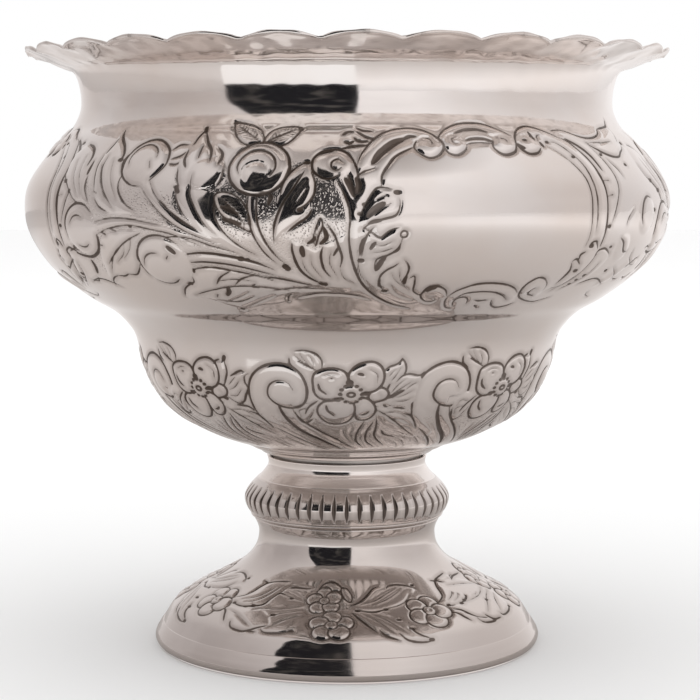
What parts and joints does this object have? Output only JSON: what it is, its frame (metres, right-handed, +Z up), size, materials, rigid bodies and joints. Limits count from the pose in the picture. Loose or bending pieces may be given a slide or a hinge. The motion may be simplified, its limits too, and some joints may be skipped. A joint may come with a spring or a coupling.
{
  "type": "pedestal punch bowl",
  "caption": "Deep round silver punch bowl with a bulging chased belly and scalloped everted rim, on a fluted knop stem and domed spreading foot.",
  "frame": {"origin": "on the bowl's vertical axis, in the plane of the surface that the foot stands on", "axes": "+Z up along the axis of the bowl; -Y is the front, with the clear oval panel a little to its +X side"},
  "size_m": [0.2792, 0.2792, 0.2578],
  "materials": {
    "polished_silver": "polished sterling silver with dark patina in the chased lines",
    "dull_silver": "unpolished silver, slightly oxidised"
  },
  "bodies": {
    "root": {"bowl_body": "polished_silver", "collar_ring": "polished_silver", "seat_ring": "dull_silver", "upper_stem": "polished_silver", "fluted_knop": "polished_silver", "knop_wire": "polished_silver", "foot_dome": "polished_silver", "foot_edge_moulding": "polished_silver", "foot_base_wire": "dull_silver"}
  },
  "joints": []
}
